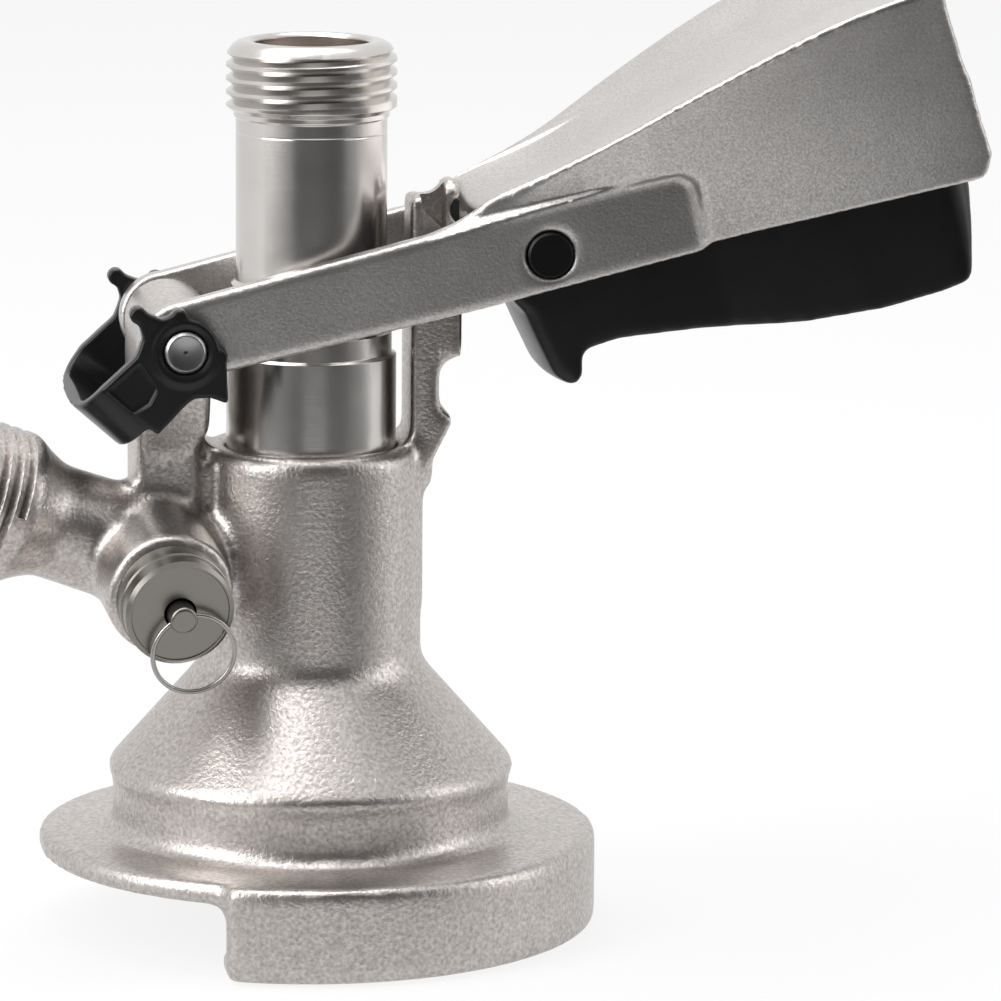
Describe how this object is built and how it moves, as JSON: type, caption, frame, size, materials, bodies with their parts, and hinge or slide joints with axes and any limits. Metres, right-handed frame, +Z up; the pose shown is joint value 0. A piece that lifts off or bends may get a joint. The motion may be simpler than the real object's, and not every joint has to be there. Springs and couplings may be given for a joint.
{
  "type": "keg coupler",
  "caption": "Slide-on keg coupler with a lever-worked probe, slanted gas inlet, pull-ring relief valve and squeeze-release handle.",
  "frame": {"origin": "on the probe axis, at the underside of the base", "axes": "+Z up along the probe axis towards the beer outlet, +X towards the lever handle, -X towards the open side of the slide and the gas inlet; lever drawn raised"},
  "size_m": [0.144, 0.0776, 0.1303],
  "materials": {
    "cast_steel": "cast stainless steel, tumbled",
    "turned_steel": "turned stainless steel, polished",
    "machined_brass_plated": "machined and plated",
    "black_plastic": "satin moulded plastic",
    "black_rubber": "moulded rubber",
    "spring_steel": "drawn wire",
    "white_plastic": "moulded plastic"
  },
  "bodies": {
    "housing": {"coupler_body": "cast_steel", "body_seal": "black_rubber", "post_bumper": "black_rubber", "prv_housing": "machined_brass_plated", "prv_o_ring": "black_rubber", "prv_spring": "spring_steel", "gas_check_valve": "black_rubber", "gas_check_retainer": "white_plastic"},
    "probe": {"probe": "turned_steel", "probe_o_rings": "black_rubber", "probe_tip_seal": "black_rubber", "ball_cage": "white_plastic"},
    "ball": {"check_ball": "turned_steel"},
    "lever": {"lever": "cast_steel", "lever_studs": "turned_steel", "hinge_pin": "turned_steel", "pin_clip": "black_plastic", "trigger_pin": "turned_steel", "trigger_spring": "spring_steel"},
    "trigger": {"trigger": "black_plastic"},
    "relief_stem": {"prv_stem": "machined_brass_plated", "prv_seal": "black_rubber"},
    "pull_ring": {"prv_ring": "spring_steel"}
  },
  "joints": [
    {"name": "lever_hinge", "type": "hinge", "parent": "housing", "child": "lever", "pos_m": [-0.0187, 0, 0.0812], "axis": [0, 1, 0], "range_deg": [0, 26.5]},
    {"name": "probe_slide", "type": "slide", "parent": "housing", "child": "probe", "axis": [0, 0, -1], "range_m": [0, 0.00863]},
    {"name": "ball_lift", "type": "slide", "parent": "probe", "child": "ball", "axis": [0, 0, 1], "range_m": [0, 0.003]},
    {"name": "trigger_hinge", "type": "hinge", "parent": "lever", "child": "trigger", "pos_m": [0.0302, 0, 0.09302], "axis": [0, -1, 0], "range_deg": [0, 12], "stiffness_Nm_per_rad": 1.5, "springref_deg": -17.19, "deforming": ["trigger_spring"]},
    {"name": "relief_stem_slide", "type": "slide", "parent": "housing", "child": "relief_stem", "axis": [0.1201, -0.9707, -0.2082], "range_m": [0, 0.0022], "stiffness_N_per_m": 2500, "springref_m": -0.003, "deforming": ["prv_spring"]},
    {"name": "pull_ring_hinge", "type": "hinge", "parent": "relief_stem", "child": "pull_ring", "pos_m": [-0.0199, -0.02608, 0.04727], "axis": [-0.9518, -0.0529, -0.3022], "range_deg": [0, 110]}
  ],
  "couplings": [
    {"joint": "probe_slide", "follows": "lever_hinge", "m_per_rad": 0.01865}
  ]
}
